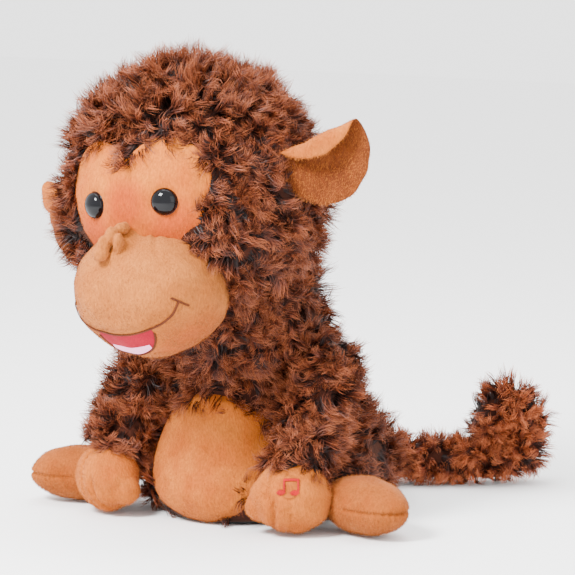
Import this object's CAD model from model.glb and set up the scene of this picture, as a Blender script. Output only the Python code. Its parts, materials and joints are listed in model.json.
"""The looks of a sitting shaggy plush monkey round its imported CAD, in millimetres until a mesh is made."""

import json
import math

import bpy
import numpy as np
from mathutils import Matrix, Vector


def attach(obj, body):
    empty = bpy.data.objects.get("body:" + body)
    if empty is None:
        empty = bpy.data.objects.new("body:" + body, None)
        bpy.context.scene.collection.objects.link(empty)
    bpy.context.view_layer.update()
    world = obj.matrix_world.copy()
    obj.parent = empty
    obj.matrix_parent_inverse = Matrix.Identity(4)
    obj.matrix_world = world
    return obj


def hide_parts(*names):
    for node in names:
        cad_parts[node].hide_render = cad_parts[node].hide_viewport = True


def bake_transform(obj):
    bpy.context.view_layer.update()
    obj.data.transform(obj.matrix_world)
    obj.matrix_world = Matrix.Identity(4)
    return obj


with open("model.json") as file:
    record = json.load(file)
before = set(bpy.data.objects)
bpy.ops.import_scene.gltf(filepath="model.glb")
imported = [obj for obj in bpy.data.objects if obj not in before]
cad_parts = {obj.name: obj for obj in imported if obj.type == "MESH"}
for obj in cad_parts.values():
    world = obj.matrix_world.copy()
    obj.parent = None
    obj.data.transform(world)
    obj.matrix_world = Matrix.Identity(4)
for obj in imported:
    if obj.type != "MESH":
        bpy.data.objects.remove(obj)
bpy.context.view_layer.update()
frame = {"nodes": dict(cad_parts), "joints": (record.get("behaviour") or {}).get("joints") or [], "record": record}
rng = np.random.default_rng(11)
JOINTS = {j["name"]: j for j in frame["joints"]}


def turn_y(angle):
    """The matrix that turns points by an angle about Y."""
    return np.array([[math.cos(angle), 0, math.sin(angle)], [0, 1, 0], [-math.sin(angle), 0, math.cos(angle)]])


def turn_z(angle):
    """The matrix that turns points by an angle about Z."""
    return np.array([[math.cos(angle), -math.sin(angle), 0], [math.sin(angle), math.cos(angle), 0], [0, 0, 1]])


# ---------------------------------------------------------------- places and sizes, in step with the CAD
# The head's own are upright about the neck pivot, before the head's tilt
SIDES = ((1, "left"), (-1, "right"))
NECK = np.array(JOINTS["head_sway"]["pos_m"]) * 1000
HEAD_TURN = turn_y(math.radians(-6))
HEAD_CENTRE = np.array([0.0, -30.0, 77.0])
HEAD_SKIN = 70.0
MUZZLE_CENTRE = np.array([0.0, -79.0, 25.0])
MUZZLE_HALF = np.array([46.0, 46.0, 39.0])
EYE_SPREAD, EYE_HEIGHT = 24.5, 77.0
MOUTH_HALF = 19.5
TONGUE_HALF = 13.0
FACE_OUTLINE = [(0, 25), (9, 33), (22, 37), (38, 31), (48, 15), (44, -8), (31, -36), (0, -46)]
FACE_MIDDLE = 5  # the point that the outline is measured from lies this far below the head's middle
EAR_PLACE = {1: np.array([95.0, -27.0, 95.0]), -1: np.array([-94.0, -22.0, 69.0])}
EAR_TURN = {1: 25, -1: -38}  # degrees about Z, for the left and right ear
EAR_LEAN = 12
EAR_WIDE = (26.0, 30.0)  # half widths outwards and inwards
EAR_TALL = 29.5
EAR_COLS = 72
FOLD_ACROSS = (-0.52, 0.854)  # the ear's flap folds along the line square to this
FOLD_START = 6.5  # from the ear's middle to the fold
FOLD_RADIUS = 5.5
TORSO_ROWS = np.array([(1.5, 2, 61, 75), (20, 1, 69, 83), (50, 2, 62, 74), (80, -4, 50, 61), (108, -13, 46, 47)])
BODY_INSET = 5.5
BODY_TOP = 104.0
BELLY_CENTRE_Z, BELLY_HALF = 38.0, (44.0, 41.0)
SHOULDER = np.array([62.0, JOINTS["arms_swing"]["pos_m"][1] * 1000, JOINTS["arms_swing"]["pos_m"][2] * 1000])
WRIST = np.array([64.0, -62.0, 40.0])
SLEEVE_SKIN = 15.5
HAND_PLACE = np.array([66.0, -71.0, 23.0])
HAND_HALF = np.array([24.0, 18.0, 21.0])
HAND_TURN = math.radians(35)
THUMB = np.array([-17.4, 4.8, -6.0])
THUMB_RADIUS = 9.5
PRESS_AIM = np.array([0.46, -0.80, 0.38])
OUT_AND_BACK = np.array([0.819, 0.574, 0.0])  # level, 35 degrees behind straight out to the left
FOOT_SPLAY = 66  # degrees from straight ahead
FOOT_REACH = 110.5
FOOT_HALF = np.array([34.0, 20.5, 17.0])
TAIL_ROUTE = np.array([(0, 66, 21), (14, 94, 15.5), (40, 112, 14.5), (66, 128, 14.5)])
TAIL_RADIUS = 11.0
CURL_CENTRE = np.array([91.0, 144.0, 33.0])


def head_to_world(p):
    return np.asarray(p) @ HEAD_TURN.T + NECK


def world_to_head(p):
    return (np.asarray(p) - NECK) @ HEAD_TURN


def unit(v):
    return v / np.maximum(np.linalg.norm(v, axis=-1, keepdims=True), 1e-9)


def noise(p, size, seed=0):
    """Smooth random numbers from about -1 to 1 that vary over the given length."""
    g = np.random.default_rng(seed + 1000)
    total = np.zeros(p.shape[:-1])
    for _ in range(6):
        k = unit(g.normal(size=3)) * 2 * math.pi / size * g.uniform(0.6, 1.5)
        total += np.sin(p @ k + g.uniform(0, 6.28))
    return total / 2.6


def noise3(p, size, seed=0):
    return np.stack([noise(p, size, seed + i) for i in range(3)], axis=-1)


def hill(x, width):
    """1 where x is 0, falling smoothly to nothing over a few widths."""
    return np.exp(-((x / width) ** 2))


def slope(x, start, width):
    """0 up to start, then rising evenly to 1 over the width."""
    return np.clip((x - start) / width, 0, 1)


# ---------------------------------------------------------------- materials
def new_material(name):
    m = bpy.data.materials.new(name)
    m.use_nodes = True
    nodes, links = m.node_tree.nodes, m.node_tree.links
    return m, nodes, links, nodes["Principled BSDF"]


def ramp(nodes, stops):
    r = nodes.new("ShaderNodeValToRGB")
    while len(r.color_ramp.elements) < len(stops):
        r.color_ramp.elements.new(0.5)
    for element, (at, colour) in zip(r.color_ramp.elements, stops):
        element.position = at
        element.color = (*colour, 1)
    return r


def multiply(nodes, links, first, second):
    """Two colours multiplied together."""
    mix = nodes.new("ShaderNodeMix")
    mix.data_type = "RGBA"
    mix.blend_type = "MULTIPLY"
    mix.inputs["Factor"].default_value = 1.0
    links.new(first, mix.inputs[6])
    links.new(second, mix.inputs[7])
    return mix.outputs[2]


def grain(nodes, links, place, scale, detail):
    """A noise texture's strength at a place."""
    texture = nodes.new("ShaderNodeTexNoise")
    texture.inputs["Scale"].default_value = scale
    texture.inputs["Detail"].default_value = detail
    links.new(place, texture.inputs["Vector"])
    return texture.outputs["Fac"]


def add_bump(nodes, links, bsdf, height, strength, distance):
    bump = nodes.new("ShaderNodeBump")
    bump.inputs["Strength"].default_value = strength
    bump.inputs["Distance"].default_value = distance
    links.new(height, bump.inputs["Height"])
    links.new(bump.outputs[0], bsdf.inputs["Normal"])


def strand_material(name, along, across, rough, specular):
    """Fibres whose colour runs from root to tip, and is a little different from one to the next."""
    m, nodes, links, bsdf = new_material(name)
    uv = nodes.new("ShaderNodeUVMap")
    uv.uv_map = "OFBake"
    split = nodes.new("ShaderNodeSeparateXYZ")
    links.new(uv.outputs["UV"], split.inputs[0])
    length, each = ramp(nodes, along), ramp(nodes, across)
    links.new(split.outputs["Y"], length.inputs[0])
    links.new(split.outputs["X"], each.inputs[0])
    links.new(multiply(nodes, links, length.outputs[0], each.outputs[0]), bsdf.inputs["Base Color"])
    bsdf.inputs["Roughness"].default_value = rough
    bsdf.inputs["Specular IOR Level"].default_value = specular
    return m


def fur_material(name, light):
    """Shaggy fur with a dark root and a pale tip. A larger light makes all but the root paler."""
    lit = [(0.36, (0.014, 0.0026, 0.0009)), (0.68, (0.110, 0.0215, 0.0065)), (1.0, (0.40, 0.112, 0.040))]
    along = [(0.0, (0.0025, 0.0005, 0.0003))] + [(at, tuple(c * light for c in colour)) for at, colour in lit]
    across = [(0.0, (0.62, 0.55, 0.52)), (0.3, (0.95, 0.92, 0.9)), (0.62, (1.0, 1.0, 1.0)),
              (0.85, (1.28, 1.2, 1.15)), (1.0, (1.65, 1.6, 1.6))]
    return strand_material(name, along, across, rough=0.5, specular=0.22)


def pile_material(name, root, tip):
    """Short fibres of brushed plush."""
    across = [(0.0, (0.7, 0.64, 0.6)), (1.0, (1.2, 1.22, 1.25))]
    return strand_material(name, [(0.0, root), (1.0, tip)], across, rough=0.7, specular=0.2)


def cloth_material(name, colour, shade, pile=0.35, scale=900.0, speck=0.5, blush=None):
    """Short pile: soft patches of shade, fine upright flecks, and a bumpy surface.

    blush is a darker dye colour and the places where it lies, as (x, y, z, reach) in millimetres.
    """
    m, nodes, links, bsdf = new_material(name)
    place = nodes.new("ShaderNodeTexCoord").outputs["Object"]
    nap = nodes.new("ShaderNodeMapping")
    nap.inputs["Scale"].default_value = (1.0, 1.0, 0.4)
    links.new(place, nap.inputs["Vector"])
    fleck = grain(nodes, links, nap.outputs["Vector"], scale, 2.0)
    base = ramp(nodes, [(0.3, shade), (0.7, colour)])
    links.new(grain(nodes, links, place, 55.0, 3.0), base.inputs[0])
    cloth = base.outputs[0]
    dye, spots = blush or (None, [])
    for x, y, z, reach in spots:
        gap = nodes.new("ShaderNodeVectorMath")
        gap.operation = "DISTANCE"
        links.new(place, gap.inputs[0])
        gap.inputs[1].default_value = (x / 1000, y / 1000, z / 1000)
        fade = nodes.new("ShaderNodeMapRange")
        fade.interpolation_type = "SMOOTHSTEP"
        fade.inputs["From Min"].default_value = reach / 1000
        fade.inputs["From Max"].default_value = reach * 0.25 / 1000
        links.new(gap.outputs["Value"], fade.inputs["Value"])
        stain = nodes.new("ShaderNodeMix")
        stain.data_type = "RGBA"
        links.new(fade.outputs["Result"], stain.inputs["Factor"])
        links.new(cloth, stain.inputs[6])
        stain.inputs[7].default_value = (*dye, 1)
        cloth = stain.outputs[2]
    tint = ramp(nodes, [(0.3, (1 - speck * 0.45,) * 3), (0.7, (1 + speck * 0.2,) * 3)])
    links.new(fleck, tint.inputs[0])
    links.new(multiply(nodes, links, cloth, tint.outputs[0]), bsdf.inputs["Base Color"])
    add_bump(nodes, links, bsdf, fleck, pile, 0.0008)
    bsdf.inputs["Roughness"].default_value = 0.85
    bsdf.inputs["Specular IOR Level"].default_value = 0.12
    bsdf.inputs["Sheen Weight"].default_value = 0.05
    bsdf.inputs["Sheen Tint"].default_value = (1.0, 0.8, 0.6, 1)
    return m


def hard_material(name, colour, metallic=0.0, rough=0.4, wear=0.12, scale=60.0, bump_size=0.0):
    """Plastic or metal with faint blotches of gloss and tone."""
    m, nodes, links, bsdf = new_material(name)
    place = nodes.new("ShaderNodeTexCoord").outputs["Object"]
    blotch = grain(nodes, links, place, scale, 4.0)
    dark, pale = tuple(c * (1 - wear) for c in colour), tuple(min(1, c * (1 + wear)) for c in colour)
    tone = ramp(nodes, [(0.3, dark), (0.7, pale)])
    links.new(blotch, tone.inputs[0])
    links.new(tone.outputs[0], bsdf.inputs["Base Color"])
    bsdf.inputs["Metallic"].default_value = metallic
    bsdf.inputs["Roughness"].default_value = rough
    if bump_size:
        add_bump(nodes, links, bsdf, blotch, 0.3, bump_size)
    return m


def head_spots(*spots):
    """Places given in the head's own axes, as (x, y, z, reach), where they lie in the room."""
    return [(*head_to_world([x, y, z]), reach) for x, y, z, reach in spots]


FUR = fur_material("shaggy_fur", 0.88)
TAIL_FUR = fur_material("tail_fur_light", 1.7)
SKIN = cloth_material("fur_backing", (0.040, 0.0085, 0.0032), (0.022, 0.0045, 0.0018), pile=0.5, scale=500)
FACE_BLUSH = ((0.33, 0.047, 0.003), head_spots((27, -90, 60, 27), (-27, -90, 60, 27), (0, -100, 76, 22),
                                                (46, -72, 78, 16), (-46, -72, 78, 16)))
MUZZLE_BLUSH = ((0.30, 0.06, 0.006), head_spots((28, -86, -8, 36), (-28, -86, -8, 36)))
FACE_TAN = cloth_material("face_plush", (0.45, 0.118, 0.010), (0.38, 0.078, 0.004), pile=0.5, blush=FACE_BLUSH)
MUZZLE_TAN = cloth_material("muzzle_plush", (0.36, 0.112, 0.019), (0.29, 0.078, 0.010), pile=0.5, speck=0.45,
                            blush=MUZZLE_BLUSH)
TAN = cloth_material("tan_plush", (0.40, 0.108, 0.012), (0.30, 0.062, 0.004), pile=0.5)
FOOT_TAN = cloth_material("foot_plush", (0.29, 0.076, 0.010), (0.22, 0.045, 0.003), pile=0.5)
FOOT_PILE = pile_material("foot_fibre", (0.19, 0.038, 0.003), (0.42, 0.138, 0.024))
EAR_LINING = cloth_material("ear_lining", (0.135, 0.030, 0.005), (0.09, 0.018, 0.003), pile=0.7, scale=600,
                            speck=0.6)
TAN_PILE = pile_material("tan_pile", (0.24, 0.048, 0.003), (0.54, 0.178, 0.028))
FACE_PILE = pile_material("face_pile", (0.33, 0.068, 0.004), (0.53, 0.155, 0.018))
PALE_PILE = pile_material("muzzle_pile", (0.24, 0.062, 0.008), (0.44, 0.155, 0.034))
MOUTH = cloth_material("mouth_cloth", (0.28, 0.0006, 0.016), (0.20, 0.0005, 0.011), pile=0.3, scale=1200,
                       speck=0.3)
TONGUE = cloth_material("tongue_cloth", (0.80, 0.36, 0.52), (0.72, 0.28, 0.44), pile=0.3, scale=1200,
                        speck=0.2)
BROWN_THREAD = cloth_material("brown_thread", (0.11, 0.026, 0.008), (0.07, 0.016, 0.006), pile=0.4, scale=1500)
RED_THREAD = cloth_material("red_thread", (0.42, 0.006, 0.006), (0.30, 0.004, 0.005), pile=0.4, scale=1500)
EYE = hard_material("eye_gloss", (0.002, 0.002, 0.003), rough=0.07, wear=0.2)
EYE.node_tree.nodes["Principled BSDF"].inputs["Specular IOR Level"].default_value = 0.2
SLOT_MATERIALS = {"plush": TAN, "fur": SKIN, "red_thread": RED_THREAD, "stuffing": cloth_material(
    "stuffing_fibre", (0.85, 0.84, 0.80), (0.75, 0.74, 0.70), pile=0.8, scale=400)}
for slot_name, slot_colour, finish in [
    ("base_plastic", (0.02, 0.02, 0.021), {"rough": 0.55, "bump_size": 0.0003, "scale": 900}),
    ("gearbox_plastic", (0.62, 0.62, 0.60), {"rough": 0.5}),
    ("gear_plastic", (0.80, 0.76, 0.62), {"rough": 0.42}),
    ("link_plastic", (0.05, 0.05, 0.055), {"rough": 0.5}),
    ("washer_plastic", (0.8, 0.8, 0.78), {"rough": 0.5}),
    ("component_plastic", (0.02, 0.02, 0.022), {"rough": 0.4}),
    ("cell_jacket", (0.04, 0.06, 0.08), {"rough": 0.3, "metallic": 0.3}),
    ("spring_steel", (0.6, 0.6, 0.62), {"rough": 0.28, "metallic": 0.95}),
    ("shaft_steel", (0.55, 0.55, 0.57), {"rough": 0.3, "metallic": 0.95}),
    ("motor_steel", (0.58, 0.58, 0.6), {"rough": 0.35, "metallic": 0.95}),
    ("belt_rubber", (0.015, 0.015, 0.015), {"rough": 0.8}),
    ("speaker_metal", (0.03, 0.03, 0.033), {"rough": 0.4, "metallic": 0.4}),
    ("speaker_paper", (0.07, 0.07, 0.07), {"rough": 0.85, "bump_size": 0.0004, "scale": 700}),
    ("board_laminate", (0.02, 0.16, 0.06), {"rough": 0.4}),
    ("wire_sheath", (0.45, 0.015, 0.015), {"rough": 0.45}),
]:
    SLOT_MATERIALS[slot_name] = hard_material(slot_name, slot_colour, **finish)


# ---------------------------------------------------------------- meshes
def set_material(obj, material):
    obj.data.materials.clear()
    obj.data.materials.append(material)


def add_to_scene(name, data):
    obj = bpy.data.objects.new(name, data)
    bpy.context.scene.collection.objects.link(obj)
    return obj


def add_object(name, mesh, material, body=None, slot=None):
    """A smooth object made of a mesh, riding on a body unless that is seen to later."""
    mesh.polygons.foreach_set("use_smooth", np.ones(len(mesh.polygons), bool))
    obj = add_to_scene(name, mesh)
    set_material(obj, material)
    if body:
        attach(obj, body)
    return obj


def make_piece(name, verts, faces, material, **kw):
    """A piece from points in millimetres."""
    mesh = bpy.data.meshes.new(name)
    mesh.from_pydata((np.asarray(verts) / 1000).tolist(), [], [list(map(int, f)) for f in faces])
    mesh.update()
    return add_object(name, mesh, material, **kw)


def make_fibres(name, verts, corners, starts, uv, material, **kw):
    """A piece of very many faces: corners lists each face's points in turn, and starts where each face begins."""
    mesh = bpy.data.meshes.new(name)
    mesh.vertices.add(len(verts))
    mesh.vertices.foreach_set("co", (verts / 1000).astype(np.float32).ravel())
    mesh.loops.add(len(corners))
    mesh.loops.foreach_set("vertex_index", corners.astype(np.int32))
    mesh.polygons.add(len(starts))
    mesh.polygons.foreach_set("loop_start", starts.astype(np.int32))
    mesh.update(calc_edges=True)
    mesh.uv_layers.new(name="OFBake").data.foreach_set("uv", uv[corners].astype(np.float32).ravel())
    return add_object(name, mesh, material, **kw)


def grid_faces(rows, cols, wrap, flip=False):
    """Quads of a grid of points, closed round each row if wrap."""
    r = np.arange(rows - 1)[:, None]
    c = np.arange(cols if wrap else cols - 1)[None, :]
    a = r * cols + c
    b = r * cols + (c + 1) % cols
    quads = np.stack([a, b, b + cols, a + cols], axis=-1).reshape(-1, 4)
    return quads[:, ::-1] if flip else quads


def grid_piece(name, points, material, flip=False, cap=(False, False), **kw):
    """A piece from rings of points, with its first and last ring closed where cap says so."""
    rows, cols = points.shape[:2]
    verts = points.reshape(-1, 3)
    faces = [list(f) for f in grid_faces(rows, cols, True, flip)]
    for end, row in zip(cap, (0, rows - 1)):
        if end:
            middle = len(verts)
            verts = np.vstack([verts, points[row].mean(axis=0)])
            for c in range(cols):
                tri = [row * cols + c, row * cols + (c + 1) % cols, middle]
                faces.append(tri[::-1] if (row == 0) != flip else tri)
    return make_piece(name, verts, faces, material, **kw)


def read_points(obj):
    co = np.empty(len(obj.data.vertices) * 3, np.float32)
    obj.data.vertices.foreach_get("co", co)
    return co.reshape(-1, 3).astype(float) * 1000


def write_points(obj, points):
    obj.data.vertices.foreach_set("co", (points / 1000).astype(np.float32).ravel())
    obj.data.update()


def lump(name, balls, voxel, material):
    """One smooth skin round several ellipsoids, given as (centre, half sizes)."""
    parts = []
    for centre, half in balls:
        bpy.ops.mesh.primitive_ico_sphere_add(subdivisions=5, radius=1)
        o = bpy.context.object
        o.data.transform(Matrix.Diagonal(Vector((*[h / 1000 for h in half], 1))))
        o.data.transform(Matrix.Translation(Vector([c / 1000 for c in centre])))
        parts.append(o)
    bpy.ops.object.select_all(action="DESELECT")
    for o in parts:
        o.select_set(True)
    bpy.context.view_layer.objects.active = parts[0]
    bpy.ops.object.join()
    joined = bpy.context.object
    remesh = joined.modifiers.new("skin", "REMESH")
    remesh.mode = "VOXEL"
    remesh.voxel_size = voxel / 1000
    soften = joined.modifiers.new("soften", "SMOOTH")
    soften.iterations = 8
    soften.factor = 0.6
    mesh = bpy.data.meshes.new_from_object(joined.evaluated_get(bpy.context.evaluated_depsgraph_get()))
    bpy.data.objects.remove(joined)
    return add_object(name, mesh, material)


def tube(points, radii, sides=12):
    """Rings of points round a path."""
    points = np.asarray(points, float)
    ahead = unit(np.gradient(points, axis=0))
    side = unit(np.cross(ahead[0], [0.1, 0.2, 1.0]))
    rings = []
    for p, t, r in zip(points, ahead, radii):
        side = unit(side - t * (side @ t))
        other = np.cross(t, side)
        a = np.linspace(0, 2 * math.pi, sides, endpoint=False)[:, None]
        rings.append(p + r * (np.cos(a) * side + np.sin(a) * other))
    return np.array(rings)


def join_tubes(tubes):
    """The points and faces of several tubes, all with the same rings and sides."""
    rings, sides = tubes[0].shape[:2]
    faces = [k * rings * sides + grid_faces(rings, sides, True) for k in range(len(tubes))]
    return np.concatenate(tubes).reshape(-1, 3), np.concatenate(faces)


def distances(points):
    """How far along a line each of its points is."""
    return np.concatenate([[0], np.cumsum(np.linalg.norm(np.diff(points, axis=0), axis=1))])


def smooth_path(points, count):
    """Points evenly along a rounded line through the given ones."""
    p = np.asarray(points, float)
    t = distances(p)
    fine = np.linspace(0, t[-1], 400)
    slopes = np.gradient(p, t, axis=0)
    i = np.clip(np.searchsorted(t, fine, side="right") - 1, 0, len(t) - 2)
    h = (t[i + 1] - t[i])[:, None]
    s = ((fine - t[i])[:, None]) / h
    curve = ((2 * s**3 - 3 * s**2 + 1) * p[i] + (s**3 - 2 * s**2 + s) * h * slopes[i]
             + (-2 * s**3 + 3 * s**2) * p[i + 1] + (s**3 - s**2) * h * slopes[i + 1])
    length = distances(curve)
    at = np.linspace(0, length[-1], count)
    return np.stack([np.interp(at, length, curve[:, k]) for k in range(3)], axis=1)


# ---------------------------------------------------------------- fur and pile
LOCKS_PER_PIECE = 1000
STRANDS = 20  # strands in a lock
STEPS = 6  # points along a strand
CURL = 120.0  # degrees that a usual lock turns from its root to its tip
STRAND_WIDTH = 0.46 * np.array([0.8, 1.0, 0.95, 0.75, 0.45, 0.0])  # from the root to the tip
GATHER = 0.4  # how much closer together a lock's tips are than its roots
FLOOR_GAP = 0.4
PILE_WIDTH = 0.26
NAP = np.array([0.0, 0.0, -0.9])  # the plush is brushed downwards


def fur_pieces(name, roots, normals, flow, lengths, body, **kw):
    """Fur in as many pieces as keeps each one under the size that a viewer can hold."""
    order = np.argsort(roots[:, 2] + 0.4 * roots[:, 1])
    for k, part in enumerate(np.array_split(order, max(1, math.ceil(len(roots) / LOCKS_PER_PIECE)))):
        fur_piece(f"{name}_{k + 1}", roots[part], normals[part], flow[part], lengths[part], body, **kw)


def lock_spines(roots, normals, flow, lengths, lift):
    """The curling middle line of each lock, from its root, and how the lock lies."""
    locks = len(roots)
    proud = lift * rng.uniform(0.3, 1.7, (locks, 1)) + 0.9 * (rng.uniform(0, 1, (locks, 1)) < 0.10)
    ahead = unit(normals * proud + flow + rng.normal(size=(locks, 3)) * 0.25)
    swing = np.where(noise(roots, 21, 7) + 0.5 * rng.normal(size=locks) > 0, 1.0, -1.0)[:, None]
    roll = rng.uniform(-0.7, 0.7, (locks, 1))
    turn = unit(normals * swing * 0.9 + np.cross(normals, ahead) * roll + rng.normal(size=(locks, 3)) * 0.35)
    angle = np.radians(rng.normal(CURL, CURL * 0.4, locks))
    spine = np.zeros((locks, STEPS, 3))
    for k in range(1, STEPS):
        part = (angle / (STEPS - 1) * (0.45 + 1.1 * (k - 1) / (STEPS - 2)))[:, None]
        c, s = np.cos(part), np.sin(part)
        along = (turn * ahead).sum(1, keepdims=True)
        ahead = ahead * c + np.cross(turn, ahead) * s + turn * along * (1 - c)
        spine[:, k] = spine[:, k - 1] + ahead * (lengths / (STEPS - 1))[:, None]
    return spine


def fur_piece(name, roots, normals, flow, lengths, body=None, spread=3.3, lift=0.42, material=FUR):
    """Locks of tapering, curling strands. Each lock has one root point, normal, comb direction and length."""
    locks = len(roots)
    spine = lock_spines(roots, normals, flow, lengths, lift)
    side_a = unit(np.cross(normals, [0.31, 0.77, 0.55]))
    side_b = np.cross(normals, side_a)
    around = rng.uniform(0, 2 * math.pi, (locks, STRANDS, 1))
    reach = spread * np.sqrt(rng.uniform(0, 1, (locks, STRANDS, 1)))
    offset = reach * (np.cos(around) * side_a[:, None] + np.sin(around) * side_b[:, None])
    scale = rng.uniform(0.72, 1.1, (locks, STRANDS, 1, 1))
    s = np.linspace(0, 1, STEPS)[None, None, :, None]
    loose = rng.normal(size=(locks, STRANDS, 1, 3)) * 1.1
    sway = rng.normal(size=(locks, STRANDS, 1, 3)) * 0.32
    points = (roots - normals * 0.8)[:, None, None] + offset[:, :, None] * (1 - GATHER * s**0.8)
    points = points + spine[:, None] * scale + loose * s**1.6 + sway * np.sin(s * 7 + around[:, :, None])
    points = points.reshape(-1, STEPS, 3)
    points[..., 2] = np.maximum(points[..., 2], FLOOR_GAP)
    total = len(points)
    face_to = unit(np.repeat(normals, STRANDS, axis=0) + rng.normal(size=(total, 3)) * 0.45)
    across = unit(np.cross(np.gradient(points, axis=1), face_to[:, None]))
    half = (STRAND_WIDTH * rng.uniform(0.75, 1.2, (total, 1)))[..., None] / 2

    # A strand is a ribbon: pairs of points up to its last step, and one point at its tip
    size = 2 * STEPS - 1
    left, right = slice(0, size - 1, 2), slice(1, size - 1, 2)
    verts = np.empty((total, size, 3), np.float32)
    verts[:, left] = (points - across * half)[:, :-1]
    verts[:, right] = (points + across * half)[:, :-1]
    verts[:, -1] = points[:, -1]
    quads = [[2 * k, 2 * k + 1, 2 * k + 3, 2 * k + 2] for k in range(STEPS - 2)]
    ribbon = np.array(sum(quads, []) + [size - 3, size - 2, size - 1])
    first_corner = np.arange(0, len(ribbon), 4)
    corners = (np.arange(total)[:, None] * size + ribbon).ravel()
    starts = (np.arange(total)[:, None] * len(ribbon) + first_corner).ravel()
    tone = 0.5 + 0.16 * np.repeat(rng.normal(size=locks), STRANDS) + 0.09 * rng.normal(size=total)
    tone = np.clip(tone, 0.02, 0.98)[:, None]
    uv = np.ones((total, size, 2), np.float32)
    uv[:, left, 0], uv[:, right, 0], uv[:, -1:, 0] = tone - 0.008, tone + 0.008, tone
    uv[:, left, 1] = uv[:, right, 1] = np.linspace(0, 1, STEPS)[:-1]
    return make_fibres(name, verts.reshape(-1, 3), corners, starts, uv.reshape(-1, 2), material, body=body,
                       slot="fur")


def pile_on(cloth, name, material, body, density=2.2, length=1.5, where=None):
    """Short fibres all over a cloth mesh, leaning the way that the nap is brushed."""
    points = read_points(cloth)
    cloth.data.calc_loop_triangles()
    tris = np.empty(len(cloth.data.loop_triangles) * 3, np.int32)
    cloth.data.loop_triangles.foreach_get("vertices", tris)
    a, b, c = (points[tris.reshape(-1, 3)[:, k]] for k in range(3))
    cross = np.cross(b - a, c - a)
    area = np.linalg.norm(cross, axis=1) / 2
    pick = rng.choice(len(area), int(area.sum() * density), p=area / area.sum())
    u, v = rng.uniform(0, 1, (2, len(pick), 1))
    fold = u + v > 1
    u, v = np.where(fold, 1 - u, u), np.where(fold, 1 - v, v)
    root = a[pick] + u * (b - a)[pick] + v * (c - a)[pick]
    normal = unit(cross[pick])
    if where is not None:
        keep = where(root)
        root, normal = root[keep], normal[keep]
    count = len(root)
    lean = unit(normal + NAP + noise3(root, 18, 5) * 0.35 + rng.normal(size=(count, 3)) * 0.3)
    side = unit(np.cross(lean, normal) + rng.normal(size=(count, 3)) * 0.4) * PILE_WIDTH / 2
    root = root - normal * 0.2
    tip = root + lean * length * rng.uniform(0.7, 1.2, (count, 1))
    verts = np.stack([root - side, root + side, tip], axis=1).reshape(-1, 3)
    tone = rng.uniform(0.03, 0.97, count)
    uv = np.stack([np.repeat(tone, 3), np.tile([0.02, 0.02, 0.98], count)], axis=1)
    uv[0::3, 0] -= 0.01
    uv[1::3, 0] += 0.01
    corners = np.arange(count * 3)
    make_fibres(name, verts, corners, corners[::3], uv, material, body=body, slot="plush")


def swirl(points, normals, base, size=34.0, strength=0.9, seed=0):
    """A comb direction that follows base and wanders smoothly over the cloth."""
    flow = base + noise3(points, size, seed) * strength
    return flow - normals * (flow * normals).sum(1, keepdims=True)


def face_rim():
    """The face outline's angles and radii about its middle, for its right half."""
    pts = smooth_path([(x, 0, z) for x, z in FACE_OUTLINE], 120)
    angle = np.arctan2(pts[:, 2] + FACE_MIDDLE, pts[:, 0])
    order = np.argsort(angle)
    return angle[order], np.hypot(pts[:, 0], pts[:, 2] + FACE_MIDDLE)[order]


def inside_face(x, z):
    """How far inside the face outline points lie, or outside it if less than zero."""
    angles, radii = face_rim()
    a = np.arctan2(z + FACE_MIDDLE, np.abs(x))
    return np.interp(a, angles, radii) - np.hypot(x, z + FACE_MIDDLE)


# ---------------------------------------------------------------- head skin and its fur
def head_radius(direction):
    """The head's skin, fuller at the cheeks, for unit directions in the head's own axes."""
    cheek = hill(direction[..., 2] + 0.42, 0.42) * np.clip(np.abs(direction[..., 0]) * 1.3, 0, 1)
    cheek_fill = 4.5 * cheek * np.clip(1 - direction[..., 1] * 0.2, 0, 1.2)
    behind = np.clip((direction[..., 1] + 0.75) * 2.2, 0, 1)
    return HEAD_SKIN - 1 + cheek_fill + 4.5 * behind * (1 - 0.4 * cheek)


def sphere_grid(rows, cols):
    """Rings of unit directions from the top to the bottom of a ball."""
    t = np.linspace(0.001, math.pi - 0.001, rows)[:, None]
    a = np.linspace(0, 2 * math.pi, cols, endpoint=False)[None, :]
    return np.stack([np.sin(t) * np.cos(a), np.sin(t) * np.sin(a), np.cos(t) + 0 * a], axis=-1)


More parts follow.
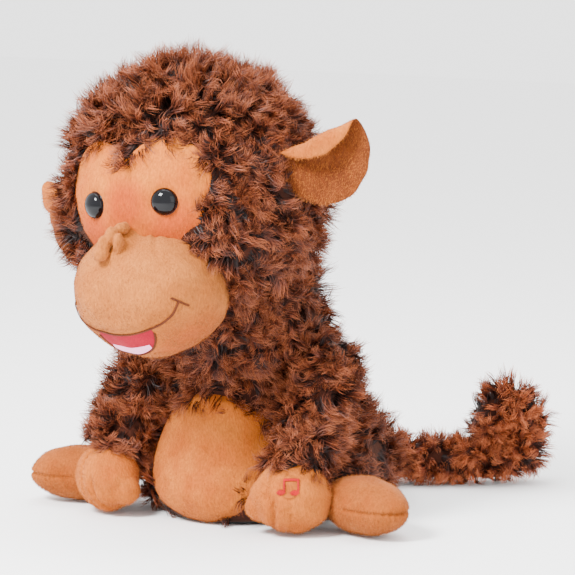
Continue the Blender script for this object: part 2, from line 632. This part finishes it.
def build_head():
    d = sphere_grid(70, 120)
    front = np.clip(-d[..., 1], 0, 1)
    radius = np.maximum(head_radius(d) - 1.2 * np.clip((front - 0.35) * 4, 0, 1), 68.2)
    skin = head_to_world(HEAD_CENTRE + d * radius[..., None])
    skin_piece = grid_piece("head_skin", skin, SKIN, flip=True, body="head", slot="fur")
    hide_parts("head_cover")

    spacing = 3.35
    d = unit(rng.normal(size=(int(4 * math.pi * 74**2 / spacing**2), 3)))
    local = HEAD_CENTRE + d * head_radius(d)[:, None]
    margin = inside_face(local[:, 0], local[:, 2] - HEAD_CENTRE[2])
    in_face = (d[:, 1] < -0.2) & (margin > 0.5)
    muzzle = (((local - MUZZLE_CENTRE) / (MUZZLE_HALF - 1.5)) ** 2).sum(1) < 1
    ear = HEAD_CENTRE + [65.0, 2.0, 15.0]
    under_ear = (((local - ear) / [12, 15, 16]) ** 2).sum(1) < 1
    keep = ~(in_face | muzzle | under_ear)
    d, local, margin = d[keep], local[keep], margin[keep]
    edge = np.clip(-margin / 14, 0, 1)
    edge[d[:, 1] > -0.2] = 1
    from_crown = unit(local - (HEAD_CENTRE + [6, 12, 66]))
    base = np.array([0, 0.15, -1.0]) * 0.4 + from_crown * 0.5 + np.array([0, 0.2, 0]) * (d[:, 1:2] < 0)
    flow = swirl(local, d, base, size=30, strength=1.0, seed=3)
    fringe = (d[:, 1] < -0.2) & (local[:, 2] - HEAD_CENTRE[2] > 18) & (edge < 1)
    flow[fringe] = flow[fringe] * 0.5 + np.array([0, -0.25, -0.8])
    length = 16.5 + 2.0 * noise(local, 30, 5) + 1.5 * hill(d[:, 2] + 0.4, 0.35)
    length = (length + 4.5 * np.clip(d[:, 2], 0, 1)) * np.where(fringe, 0.9, 0.6 + 0.4 * edge)
    world, normal, flow = head_to_world(local), d @ HEAD_TURN.T, flow @ HEAD_TURN.T
    crown = d[:, 2] > 0.62
    for name, part, lift in (("head_fur_crown", crown, 0.8), ("head_fur", ~crown, 0.42)):
        fur_pieces(name, world[part], normal[part], flow[part], length[part], "head", lift=lift)


def build_neck():
    """Cloth and fur between the torso and the head, which bend as the head sways."""
    centre = head_to_world(HEAD_CENTRE)
    low = np.array([0.0, -17.0, 98.0])
    axis = unit(centre - low)
    high = centre - axis * 50
    cols, rows = 60, 10
    rings, normals = [], []
    a = np.linspace(0, 2 * math.pi, cols, endpoint=False)[:, None]
    for s in np.linspace(0, 1, rows):
        up = unit(np.array([0, 0, 1.0]) * (1 - s) + axis * s)
        side = unit(np.cross([0, 1.0, 0], up))
        fore = np.cross(up, side)
        middle = low * (1 - s) + high * s
        ring = middle + (51 + 2 * s) * (np.cos(a) * side + np.sin(a) * fore)
        rings.append(ring)
        normals.append(unit(ring - middle))
    rings, normals = np.array(rings), np.array(normals)
    cloth = grid_piece("neck_cloth", rings, SKIN, slot="fur")
    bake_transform(cloth)
    count = 950
    r, c = rng.uniform(0, rows - 1.01, count), rng.integers(0, cols, count)
    i = r.astype(int)
    f = (r - i)[:, None]
    root = rings[i, c] * (1 - f) + rings[i + 1, c] * f + rng.normal(size=(count, 3)) * 0.8
    normal = unit(normals[i, c] * (1 - f) + normals[i + 1, c] * f)
    flow = swirl(root, normal, np.array([0, 0, -0.5]), seed=9)
    fur = fur_piece("neck_fur", root, normal, flow, np.full(count, 17.5) + rng.normal(size=count))
    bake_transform(fur)


# ---------------------------------------------------------------- face, eyes, muzzle, nose, mouth
def face_surface(x, z, lift=0.0):
    """A point on the face cloth in the head's axes, from its front view place about the head's middle."""
    r = HEAD_SKIN + 0.6 + lift
    y = -np.sqrt(np.maximum(r**2 - x**2 - z**2, 1))
    p = np.stack([x, y, z], axis=-1)
    for side in (-1, 1):
        gap = np.hypot(x - side * EYE_SPREAD, z - (EYE_HEIGHT - HEAD_CENTRE[2]))
        p = p * (1 - 0.030 * hill(gap, 8.5))[..., None] * (1 + 0.012 * hill(gap - 15, 6))[..., None]
    p = p * (1 + 0.004 * noise(p, 30, 21))[..., None]
    return p + HEAD_CENTRE


def build_face():
    angles, radii = face_rim()
    cols, rows = 144, 44
    a = np.linspace(-math.pi, math.pi, cols, endpoint=False)
    fold = np.abs(a)
    right = np.where(fold <= math.pi / 2, a, np.sign(a) * (math.pi - fold))
    rim = np.interp(right, angles, radii)
    s = np.linspace(0.0, 1.0, rows)[:, None] ** 0.9
    points = face_surface(s * rim * np.cos(a), s * rim * np.sin(a) - FACE_MIDDLE)
    out = points[-1] - HEAD_CENTRE
    tuck = HEAD_CENTRE + out * (66.5 / np.linalg.norm(out, axis=1))[:, None]
    points = np.concatenate([points, tuck[None]])
    face = grid_piece("face_cloth", head_to_world(points), FACE_TAN, body="head", slot="plush")
    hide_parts("face_panel")

    def clear_of_eyes(p):
        local = world_to_head(p)
        return np.hypot(np.abs(local[:, 0]) - EYE_SPREAD, local[:, 2] - EYE_HEIGHT) > 8.6

    pile_on(face, "face_pile", FACE_PILE, "head", density=1.3, length=1.2, where=clear_of_eyes)


def build_eye(side, name):
    """A glossy dome with a thin rim, seated in the face cloth."""
    x, z = side * EYE_SPREAD, EYE_HEIGHT - HEAD_CENTRE[2]
    out = np.array([x, -math.sqrt(HEAD_SKIN**2 - x**2 - z**2), z])
    normal = out / np.linalg.norm(out)
    base = HEAD_CENTRE + out - normal * 1.2
    u = unit(np.cross([0, 0, 1.0], normal))
    v = np.cross(normal, u)
    dome = [(7.9 * math.sin(t), 0.7 + 5.5 * math.cos(t) ** 0.9) for t in np.linspace(0.02, math.pi / 2, 26)]
    profile = dome + [(8.15, 0.9), (8.25, 0.4), (8.0, 0.0), (7.0, -0.3)]
    turn = np.linspace(0, 2 * math.pi, 72, endpoint=False)[:, None]
    rings = np.array([base + normal * h + r * (np.cos(turn) * u + np.sin(turn) * v) for r, h in profile])
    eye = grid_piece(f"eye_{name}_dome", head_to_world(rings), EYE, flip=True, cap=(True, True), body="head",
                     slot="eye_plastic")
    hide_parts(f"eye_{name}")


def muzzle_swell(p):
    """How far the stuffing swells or the seams pull in the muzzle, at points about its middle."""
    x, z = p[..., 0], p[..., 2]
    front = p[..., 1] < 0
    ridge = hill(x, 3.4 + 0.07 * (42 - z)) * slope(z, 17, 10) * np.clip((48 - z) / 6, 0, 1)
    crease = hill(np.abs(x) - 9.5, 2.8) * slope(z, 20, 10)
    under_nose = hill(z - 18, 3.5) * hill(x, 7)
    dart = hill(x - 25 + (z - 22) * 0.75, 1.3) * slope(z, 19, 6) * (x > 0)
    mouth_pull = hill(z + 25 - 0.006 * x**2, 5.0) * np.exp(-((x / 26) ** 4))
    chin = hill(z + 34, 5) * np.exp(-((x / 22) ** 4))
    pucker = hill(z - 33, 5) * np.sin(np.arctan2(p[..., 1], x) * 26)
    swell = 1 + 0.018 * noise(p, 45, 31) + 0.006 * noise(p, 14, 32)
    return swell + front * (0.085 * ridge - 0.04 * crease - 0.03 * under_nose - 0.03 * dart - 0.03 * mouth_pull
                            + 0.02 * chin + 0.005 * pucker)


def muzzle_point(x, z, lift=0.0):
    """A point on the muzzle's front, in the head's axes, from its front view place about the muzzle's middle."""
    y = -MUZZLE_HALF[1] * np.sqrt(np.maximum(1 - (x / MUZZLE_HALF[0]) ** 2 - (z / MUZZLE_HALF[2]) ** 2, 1e-3))
    p = np.stack([x, y, z], axis=-1)
    return p * muzzle_swell(p)[..., None] + unit(p / MUZZLE_HALF**2) * lift + MUZZLE_CENTRE


def in_mouth(p):
    x, z = p[:, 0], p[:, 2] - MUZZLE_CENTRE[2]
    return (np.abs(x) < MOUTH_HALF) & (z > -35) & (z < -20) & (p[:, 1] < MUZZLE_CENTRE[1])


def build_muzzle():
    d = sphere_grid(120, 180)[..., [0, 2, 1]] * np.array([1, -1, 1])
    p = d * MUZZLE_HALF
    points = p * muzzle_swell(p)[..., None] + MUZZLE_CENTRE
    muzzle = grid_piece("muzzle_cloth", head_to_world(points), MUZZLE_TAN, body="head", slot="plush")
    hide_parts("muzzle")
    pile_on(muzzle, "muzzle_pile", PALE_PILE, "head", density=2.0, where=lambda q: ~in_mouth(world_to_head(q)))


def build_nose():
    """A pinch of the muzzle's cloth, folded across its tip."""
    knob = lump("nose_pinch", [
        (head_to_world([-6.0, -120.5, 50.5]), (5.2, 4.4, 4.6)),
        (head_to_world([-3.5, -119.5, 55.5]), (3.6, 4.6, 5.6)),
        (head_to_world([-0.5, -115.0, 60.0]), (3.4, 5.6, 5.4)),
        (head_to_world([1.5, -107.0, 63.5]), (3.2, 6.4, 3.8)),
        (head_to_world([3.8, -115.5, 55.0]), (2.6, 4.4, 6.6)),
    ], 0.6, MUZZLE_TAN)
    pts = read_points(knob)
    local = world_to_head(pts)
    middle = head_to_world([0, -112, 53])
    fold = hill(local[:, 2] - 50.5 - 0.3 * local[:, 0], 1.0) * hill(local[:, 0] - 1.5, 4)
    pts = pts - unit(pts - middle) * (1.2 * fold)[:, None]
    pts = pts + unit(pts - middle) * (0.3 * noise(local, 5, 41))[:, None]
    write_points(knob, pts)
    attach(knob, "head")
    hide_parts("nose")
    pile_on(knob, "nose_pile", PALE_PILE, "head", length=1.1)


def mouth_top(x):
    return -23.2 + 3.2 * np.abs(x / MOUTH_HALF) ** 2.2


def mouth_bottom(x):
    return -20.2 - 13.6 * np.sqrt(np.maximum(1 - np.abs(x / (MOUTH_HALF + 0.4)) ** 2.4, 0))


def tongue_top(x):
    return -29.0 - 1.4 * (1 - (x / TONGUE_HALF) ** 2)


def tongue_bottom(x):
    return np.minimum(tongue_top(x) - 0.1, mouth_bottom(x) + 0.6)


def build_patch(name, top, bottom, half, material, lift):
    """A thin cloth patch on the muzzle between a top and a bottom edge, with its rim tucked in."""
    xs = half * np.linspace(-1, 1, 50) + np.zeros((16, 1))
    zs = bottom(xs) + (top(xs) - bottom(xs)) * np.linspace(0, 1, 16)[:, None]
    front, under = muzzle_point(xs, zs, lift), muzzle_point(xs, zs, -1.5)
    ring, rim = (np.concatenate([q[0], q[1:, -1], q[-1, ::-1][1:], q[1:-1, 0][::-1]]) for q in (front, under))
    rows, cols = xs.shape
    faces = [list(f) for f in grid_faces(rows, cols, False)]
    n, first = len(ring), rows * cols
    faces += [[first + i, first + (i + 1) % n, first + n + (i + 1) % n, first + n + i] for i in range(n)]
    verts = np.vstack([front.reshape(-1, 3), ring, rim])
    patch = make_piece(f"{name}_lining", head_to_world(verts), faces, material, body="head", slot=f"{name}_cloth")
    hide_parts(f"{name}_patch")


def build_mouth():
    build_patch("mouth", mouth_top, mouth_bottom, MOUTH_HALF - 0.3, MOUTH, 0.35)
    build_patch("tongue", tongue_top, tongue_bottom, TONGUE_HALF, TONGUE, 0.6)


def build_smile():
    """Satin stitches laid across the smile, the ticks at its ends and the mouth's edges."""
    lines = []
    for side in (-1, 1):
        lines.append([(side * 36, -5), (side * 32, -12), (side * 27, -16.5), (side * 19.5, -20.2)])
        lines.append([(side * 33.4, -2.6), (side * 36, -5), (side * 38.8, -8.0)])
    lines.append([(x, mouth_top(x)) for x in np.linspace(-MOUTH_HALF, MOUTH_HALF, 15)])
    lines.append([(x, mouth_bottom(x)) for x in np.linspace(-MOUTH_HALF, MOUTH_HALF, 31)])
    thick, pitch, lift = 0.85, 0.42, 0.55
    s = np.linspace(-1, 1, 7)
    radii = 0.30 * np.sqrt(np.clip(1.05 - s**2, 0.02, 1))
    rings = []
    for line in lines:
        path = smooth_path([(x, 0, z) for x, z in line], 160)
        at = np.linspace(0, 159, max(3, int(distances(path)[-1] / pitch))).astype(int)
        p = muzzle_point(path[at, 0], path[at, 2], lift)
        ahead = unit(np.gradient(p, axis=0))
        out = unit((p - MUZZLE_CENTRE) / MUZZLE_HALF**2)
        across = unit(np.cross(out, ahead) + ahead * 0.55)
        for q, w, n in zip(p, across, out):
            spine = q + np.outer(s * thick, w) + np.outer((1 - s**2) * 0.28 - 0.2, n)
            rings.append(tube(spine, radii, 6))
    verts, faces = join_tubes(rings)
    smile = make_piece("smile_thread", head_to_world(verts), faces, BROWN_THREAD, body="head", slot="brown_thread")
    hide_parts("smile_stitching")


def ear_round(share, lift):
    """A round of an ear, share of the way to its rim, with the flap bent forward and down."""
    a = np.linspace(0, 2 * math.pi, EAR_COLS, endpoint=False)
    x = np.where(np.cos(a) > 0, *EAR_WIDE) * np.cos(a) * share
    z = EAR_TALL * np.sin(a) * share
    y = -6.5 * (x / EAR_WIDE[0]) ** 2 * (x > 0) - 3.0 * (z / 29.0) ** 2 + lift
    over = np.clip(x * FOLD_ACROSS[0] + z * FOLD_ACROSS[1] - FOLD_START, 0, None)
    bend = np.clip(over / FOLD_RADIUS, 0, math.pi * 0.93)
    rest = over - bend * FOLD_RADIUS
    shift = FOLD_RADIUS * np.sin(bend) + rest * np.cos(bend) - over
    fore = FOLD_RADIUS * (1 - np.cos(bend)) + rest * np.sin(bend)
    y += lift * (np.cos(bend) - 1) - fore
    return np.stack([x + FOLD_ACROSS[0] * shift, y, z + FOLD_ACROSS[1] * shift], -1)


def build_ear(side, name):
    """A two-sided ear whose front top edge is folded down over a darker lining."""
    shares = np.linspace(0, 1, 20)
    rings = [ear_round(t, 3.2 * math.sqrt(max(0.0, 1 - t**2.5)) + 0.2) for t in shares[1:]]
    rings += [ear_round(t, -3.2 * math.sqrt(max(0.0, 1 - t**2.5)) - 0.2) for t in shares[:0:-1]]
    pts = np.array(rings)
    pts = pts + 0.4 * noise3(pts + side * 50, 16, 51)
    pts[..., 0] *= side
    pts = pts @ turn_y(math.radians(side * EAR_LEAN)).T @ turn_z(math.radians(EAR_TURN[side])).T + EAR_PLACE[side]
    ear = grid_piece(f"ear_{name}_cloth", head_to_world(pts), TAN, flip=side < 0, cap=(True, True), body="head",
                     slot="plush")
    ear.data.materials.append(EAR_LINING)
    lining = np.zeros(len(ear.data.polygons), np.int32)
    half = len(shares) - 1
    lining[EAR_COLS * half:EAR_COLS * (2 * half - 1)] = 1
    lining[-EAR_COLS:] = 1
    ear.data.polygons.foreach_set("material_index", lining)
    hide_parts(f"ear_{name}")
    pile_on(ear, f"ear_{name}_pile", TAN_PILE, "head", density=1.6, length=1.9)


# ---------------------------------------------------------------- torso, belly, arms, hands, feet, tail
TORSO_FIT = [np.polyfit(TORSO_ROWS[:, 0], TORSO_ROWS[:, k], 4) for k in (1, 2, 3)]


def torso_ring(z, inset):
    """The torso's centre in Y, half width and half depth at a height."""
    return [np.polyval(fit, z) - less for fit, less in zip(TORSO_FIT, (0, inset, inset))]


def torso_point(angle, z, inset):
    """A point on the torso at an angle, where -90 degrees is its front."""
    behind = np.clip(np.sin(angle) + 0.6, 0, 1.2)
    sag = 9.0 * hill(z - 32, 30) + 8.0 * hill(z - 98, 20)
    y0, wide, deep = torso_ring(z, inset - behind * sag)
    return np.stack([wide * np.cos(angle), y0 + deep * np.sin(angle), z + 0 * angle], axis=-1)


def torso_normal(angle, z, inset):
    step = 0.5
    du = torso_point(angle + 0.01, z, inset) - torso_point(angle - 0.01, z, inset)
    dv = torso_point(angle, z + step, inset) - torso_point(angle, z - step, inset)
    return unit(np.cross(du, dv))


def build_body():
    a = np.linspace(0, 2 * math.pi, 110, endpoint=False)[None, :]
    z = np.linspace(2.0, BODY_TOP, 50)[:, None]
    points = torso_point(a + 0 * z, z + 0 * a, BODY_INSET)
    middle = points[-1].mean(axis=0)
    hem = middle + (points[0] - middle) * np.array([0.93, 0.93, 1.0])
    hem[:, 2] = 2.0
    top = []
    for s in (0.85, 0.6, 0.3):
        ring = middle + (points[-1] - middle) * s
        ring[:, 2] += 3.5 * math.sqrt(1 - s**2)
        top.append(ring)
    points = np.concatenate([hem[None], points, np.array(top)])
    skin = grid_piece("body_skin", points, SKIN, cap=(False, True), body="torso", slot="fur")
    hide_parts("body_cover")

    spacing = 3.3
    count = int(2 * math.pi * 60 * 104 / spacing**2)
    a, z = rng.uniform(0, 2 * math.pi, count), 3.5 + 102 * rng.uniform(0, 1, count)
    keep = rng.uniform(0, 1, count) < torso_ring(z, BODY_INSET)[2] / 76
    a, z = a[keep], z[keep]
    p, normal = torso_point(a, z, BODY_INSET), torso_normal(a, z, BODY_INSET)
    belly = (p[:, 0] / (BELLY_HALF[0] - 5)) ** 2 + ((z - BELLY_CENTRE_Z) / (BELLY_HALF[1] - 4)) ** 2 < 1
    keep = ~belly | (p[:, 1] >= 0)
    p, normal = p[keep], normal[keep]
    flow = swirl(p, normal, np.array([0, 0, -0.55]), seed=61)
    low = slope(p[:, 2], 2, 12)
    flow[:, 2] += (1 - low) * 0.9
    toward_belly = np.stack([-p[:, 0], np.zeros(len(p)), BELLY_CENTRE_Z - p[:, 2]], -1) / 45
    from_rim = 1.35 - np.hypot(p[:, 0] / BELLY_HALF[0], (p[:, 2] - BELLY_CENTRE_Z) / BELLY_HALF[1])
    rim = np.clip(from_rim, 0, 0.4) * (p[:, 1] < -20)
    flow += toward_belly * rim[:, None] * 1.6
    length = (17.5 + 2.2 * noise(p, 30, 63)) * (0.62 + 0.38 * low)
    fur_pieces("body_fur", p, normal, flow, length, "torso")


def build_shoulders():
    """Fur on top of the torso, under the head."""
    count = 300
    a, r = rng.uniform(0, 2 * math.pi, count), np.sqrt(rng.uniform(0, 1, count))
    y0, wide, deep = torso_ring(BODY_TOP, BODY_INSET)
    p = np.stack([wide * r * np.cos(a), y0 + deep * r * np.sin(a), 107.0 - 3 * r**2], -1)
    normal = unit(np.stack([0.5 * r * np.cos(a), 0.5 * r * np.sin(a), np.ones(count)], -1))
    flow = swirl(p, normal, unit(p - [0, y0, 103]) * 0.8, seed=66)
    fur_pieces("shoulder_fur", p, normal, flow, np.full(count, 14.0), "torso")


def build_belly():
    t = np.linspace(0, 2 * math.pi, 96, endpoint=False)[None, :]
    s = np.linspace(0.02, 1, 30)[:, None]
    x, z = BELLY_HALF[0] * s * np.cos(t), BELLY_CENTRE_Z + (BELLY_HALF[1] - 2) * s * np.sin(t) + 1.5
    y0, wide, deep = torso_ring(z, 3.2)
    pts = np.stack([x, y0 - deep * np.sqrt(np.maximum(1 - (x / wide) ** 2, 0.01)), z], -1)
    pts[..., 1] -= 1.6 * (1 - s**4) + 0.5 * noise(pts, 22, 71) - 3.4 * slope(s, 0.92, 0.08)
    belly = grid_piece("belly_cloth", pts, TAN, cap=(True, False), body="torso", slot="plush")
    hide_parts("belly_panel")
    pile_on(belly, "belly_pile", TAN_PILE, "torso", length=1.8)


def sleeve_radius(s):
    """The sleeve's radius along the arm, with a round shoulder."""
    return SLEEVE_SKIN * np.sqrt(np.clip(1 - (np.clip(0.02 - s, 0, 1) / 0.235) ** 2, 0.02, 1))


def build_arm(side, name):
    shoulder, wrist = SHOULDER * [side, 1, 1], WRIST * [side, 1, 1]
    reach = wrist - shoulder
    s = np.linspace(-0.21, 1.04, 34)
    rings = tube(shoulder + reach * s[:, None], sleeve_radius(s), 40)
    rings = rings + 0.5 * noise3(rings, 20, 81)
    skin = grid_piece(f"sleeve_{name}_skin", rings, SKIN, cap=(True, True), body="arms", slot="fur")
    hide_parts(f"sleeve_{name}")
    spacing = 3.2
    count = int(2 * math.pi * SLEEVE_SKIN * 86 / spacing**2)
    s = rng.uniform(-0.2, 1.05, count)
    a = rng.uniform(0, 2 * math.pi, count)
    along = unit(reach)
    u = unit(np.cross(along, [0, 0, 1.0]))
    v = np.cross(along, u)
    out = np.cos(a)[:, None] * u + np.sin(a)[:, None] * v
    normal = unit(out - along * np.clip(-s * 5, 0, 1)[:, None] * 1.2)
    root = shoulder + reach * s[:, None] + out * sleeve_radius(s)[:, None]
    flow = swirl(root, normal, along * 0.75, size=26, strength=0.7, seed=83)
    length = 17.0 + 1.8 * noise(root, 22, 85)
    fur_pieces(f"sleeve_{name}_fur", root, normal, flow, length, "arms")


def press_place():
    """Where the middle of the press button lies on the left hand's cloth."""
    turn = turn_z(HAND_TURN)
    aim = unit(PRESS_AIM) @ turn
    return HAND_PLACE + turn @ (HAND_HALF**2 * aim / math.sqrt(((HAND_HALF * aim) ** 2).sum()))


def build_hand(side, name):
    hand = lump(f"hand_{name}_cloth", [((0, 0, 0), HAND_HALF), (THUMB * [side, 1, 1], (THUMB_RADIUS,) * 3),
                                       ((-11.0 * side, 3.5, -3.0), (11.0, 11.5, 12.0))], 1.0, TAN)
    pts = read_points(hand)
    x, y, z = pts.T
    out = unit(pts / HAND_HALF**2)
    line = x + 2.0 * side + 0.05 * z
    front = np.clip(-y / 6, 0, 1)
    sewn = 1.0 if side < 0 else 0.35
    seam = hill(line, 1.0) * front
    pucker = np.sin(z * 1.9) * hill(line, 4.0) * front
    crook = hill(x * side + 11.5, 1.8) * front * np.clip((6 - z) / 8, 0, 1)
    depth = sewn * (-2.0 * seam + 0.45 * pucker) - 2.4 * crook + 0.6 * noise(pts, 18, 91)
    pts = HAND_PLACE * [side, 1, 1] + (pts + out * depth[:, None]) @ turn_z(side * HAND_TURN).T
    pts[:, 2] = np.maximum(pts[:, 2], 1.0)
    write_points(hand, pts)
    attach(hand, "arms")
    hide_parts(f"hand_{name}")

    def off_button(p):
        return (np.linalg.norm(p - press_place(), axis=1) > 9.0) | (side < 0)

    pile_on(hand, f"hand_{name}_pile", TAN_PILE, "arms", where=off_button)


def build_foot(side, name):
    turn = math.radians(-90 + side * FOOT_SPLAY)
    ahead, aside = np.array([math.cos(turn), math.sin(turn), 0]), np.array([-math.sin(turn), math.cos(turn), 0])
    d = sphere_grid(70, 110)
    p = d * FOOT_HALF
    x, z = p[..., 0], p[..., 2]
    swell = 1 + 0.02 * noise(p + side * 40, 24, 95)
    seam = hill(z, 0.9) * slope(x, -4, 14)
    ripple = np.sin(np.arctan2(d[..., 1], d[..., 0]) * 34) * hill(z, 4.5) * slope(x, 0, 20)
    p = p * (swell - 0.075 * seam + 0.018 * ripple)[..., None]
    pts = p @ np.array([ahead, aside, [0, 0, 1.0]]) + [0, 0, 17.5] + ahead * FOOT_REACH
    pts[..., 2] = np.maximum(pts[..., 2], 0.6)
    foot = grid_piece(f"foot_{name}_cloth", pts, FOOT_TAN, flip=True, body="torso", slot="plush")
    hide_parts(f"foot_{name}")
    pile_on(foot, f"foot_{name}_pile", FOOT_PILE, "torso", where=lambda p: p[:, 2] > 1.5)


def build_tail():
    """A furry tail that runs back along the floor and curls up at its end."""
    up = np.array([0, 0, 1.0])
    curl = zip(np.radians([-90, -45, 0, 45, 95, 150, 205, 250]), [1.12, 1.08, 1.0, 0.98, 0.92, 0.8, 0.55, 0.3])
    curl = [CURL_CENTRE + OUT_AND_BACK * 15.0 * k * math.cos(t) + up * 16.5 * k * math.sin(t) for t, k in curl]
    count, sides = 90, 28
    path = smooth_path(np.vstack([TAIL_ROUTE, curl]), count)
    radii = TAIL_RADIUS - 1.8 * np.linspace(0, 1, count)
    radii[-4:] *= [0.95, 0.8, 0.55, 0.2]
    rings = tube(path, radii, sides)
    rings[..., 2] = np.maximum(rings[..., 2], 3.0)
    skin = grid_piece("tail_skin", rings, SKIN, cap=(True, True), body="torso", slot="fur")
    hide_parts("tail", "tail_curl")
    locks = 1700
    i = rng.integers(4, count, locks)
    c = rng.integers(0, sides, locks)
    root = rings[i, c] + rng.normal(size=(locks, 3)) * 0.5
    normal = unit(rings[i, c] - path[i])
    along = unit(np.gradient(path, axis=0))[i]
    flow = swirl(root, normal, along * 0.7, size=24, strength=0.7, seed=101)
    tuft = np.exp(-(((root - CURL_CENTRE - [0, 0, 24]) / 12) ** 2).sum(1))
    length = 14.0 + 1.5 * noise(root, 20, 103) + rng.normal(size=locks) * 0.8 + 5 * tuft
    flow = flow * (1 - tuft[:, None]) + tuft[:, None] * np.array([0.15, 0, 0.9])
    low = slope(root[:, 2], 3, 8)
    flow[:, 2] += (1 - low) * 0.8
    fur_pieces("tail_fur", root, normal, flow, length * (0.75 + 0.25 * low), "torso", spread=2.5,
               material=TAIL_FUR)


def build_press():
    """The press button in the left hand, with its embroidered notes."""
    aim, turn, middle = unit(PRESS_AIM), turn_z(HAND_TURN), press_place()
    right = unit(OUT_AND_BACK - aim * (OUT_AND_BACK @ aim))
    up = np.cross(aim, right)

    def on_skin(x, y):
        """The point and normal on the hand's cloth for a place on the button."""
        d = turn.T @ (middle + x * right + y * up - HAND_PLACE)
        d = d / math.sqrt(((d / HAND_HALF) ** 2).sum())
        return HAND_PLACE + turn @ d, unit(turn @ (d / HAND_HALF**2))

    s = np.linspace(0, 1, 6)
    radii = 0.34 * np.sqrt(np.clip(1.04 - (2 * s - 1) ** 2, 0.03, 1))

    def stitch(start, end):
        spine = []
        for t in s:
            p, n = on_skin(start[0] + (end[0] - start[0]) * t, start[1] + (end[1] - start[1]) * t)
            spine.append(p + n * (0.75 + 0.3 * math.sin(math.pi * t)))
        return tube(spine, radii, 6)

    stitches, note_half = [], 2.6
    for x, y in ((-5.0, -3.2), (3.2, -3.6)):
        for k in np.linspace(-1, 1, 11):
            tall = 0.72 * note_half * math.sqrt(max(0.02, 1 - k * k))
            stitches.append(stitch((x + k * note_half, y - tall), (x + k * note_half + 0.5, y + tall)))
    for x in (-2.6, 5.6):
        stitches += [stitch((x - 0.65, k), (x + 0.65, k + 0.35)) for k in np.linspace(-2.6, 4.2, 16)]
    stitches += [stitch((k, 3.2), (k + 0.35, 5.2)) for k in np.linspace(-2.9, 5.9, 22)]
    notes = make_piece("note_thread", *join_tubes(stitches), RED_THREAD, body="hand_press", slot="red_thread")
    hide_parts("note_stitching")

    around = np.linspace(0, 2 * math.pi, 48, endpoint=False)
    rings = [[on_skin(r * math.cos(t), r * math.sin(t))[0] + aim * 0.35 for t in around]
             for r in np.linspace(0.1, 7.0, 12)]
    rings.append([p - aim * 3 for p in rings[-1]])
    pad = grid_piece("press_cloth", np.array(rings), TAN, cap=(True, True), body="hand_press", slot="plush")
    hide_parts("hand_button")
    pile_on(pad, "press_pile", TAN_PILE, "hand_press", length=1.0)


build_head()
build_neck()
build_face()
for side, name in SIDES:
    build_eye(side, name)
build_muzzle()
build_nose()
build_mouth()
build_smile()
for side, name in SIDES:
    build_ear(side, name)
build_body()
build_shoulders()
build_belly()
build_tail()
for side, name in SIDES:
    build_arm(side, name)
    build_hand(side, name)
    build_foot(side, name)
build_press()

slots = {s["node"]: s["material_slot"] for s in frame["record"]["subparts"]}
for name, obj in frame["nodes"].items():
    if not obj.hide_render:
        set_material(obj, SLOT_MATERIALS[slots[name]])

# ---------------------------------------------------------------- floor, light, camera
bpy.ops.mesh.primitive_plane_add(size=6, location=(0, 0, -0.0003))
floor = bpy.context.object
floor.name = "floor"
set_material(floor, hard_material("floor_white", (0.93, 0.93, 0.93), rough=0.7, wear=0.005))

world = bpy.data.worlds.new("studio")
bpy.context.scene.world = world
world.use_nodes = True
sky = world.node_tree.nodes["Background"]
sky.inputs["Color"].default_value = (1, 1, 1, 1)
sky.inputs["Strength"].default_value = 2.7


def area_light(name, place, target, size, power):
    data = bpy.data.lights.new(name, "AREA")
    data.shape = "SQUARE"
    data.size = size
    data.energy = power
    obj = add_to_scene(name, data)
    obj.location = place
    obj.rotation_euler = (Vector(target) - Vector(place)).to_track_quat("-Z", "Y").to_euler()


AZIMUTH, ELEVATION = math.radians(32.03), math.radians(7.69)
DISTANCE = 2.2
VIEW_WIDTH = 0.33925  # seen across the picture at the target
target = Vector((0.0558, -0.0593, 0.1457))
level = Vector((math.sin(AZIMUTH), -math.cos(AZIMUTH), 0))
back = level * math.cos(ELEVATION) + Vector((0, 0, math.sin(ELEVATION)))
right = Vector((math.cos(AZIMUTH), math.sin(AZIMUTH), 0))
camera_data = bpy.data.cameras.new("camera")
camera_data.lens = camera_data.sensor_width * DISTANCE / VIEW_WIDTH
camera = add_to_scene("camera", camera_data)
camera.location = target + back * DISTANCE
camera.rotation_euler = (-back).to_track_quat("-Z", "Y").to_euler()
bpy.context.scene.camera = camera

area_light("key", target + back * 0.7 - right * 0.75 + Vector((0, 0, 0.8)), target, 0.4, 62)
area_light("fill", target + back * 0.9 + right * 0.9 + Vector((0, 0, 0.3)), target, 0.9, 6)
area_light("top", target - back * 0.3 + Vector((0, 0, 1.2)), target, 0.9, 14)
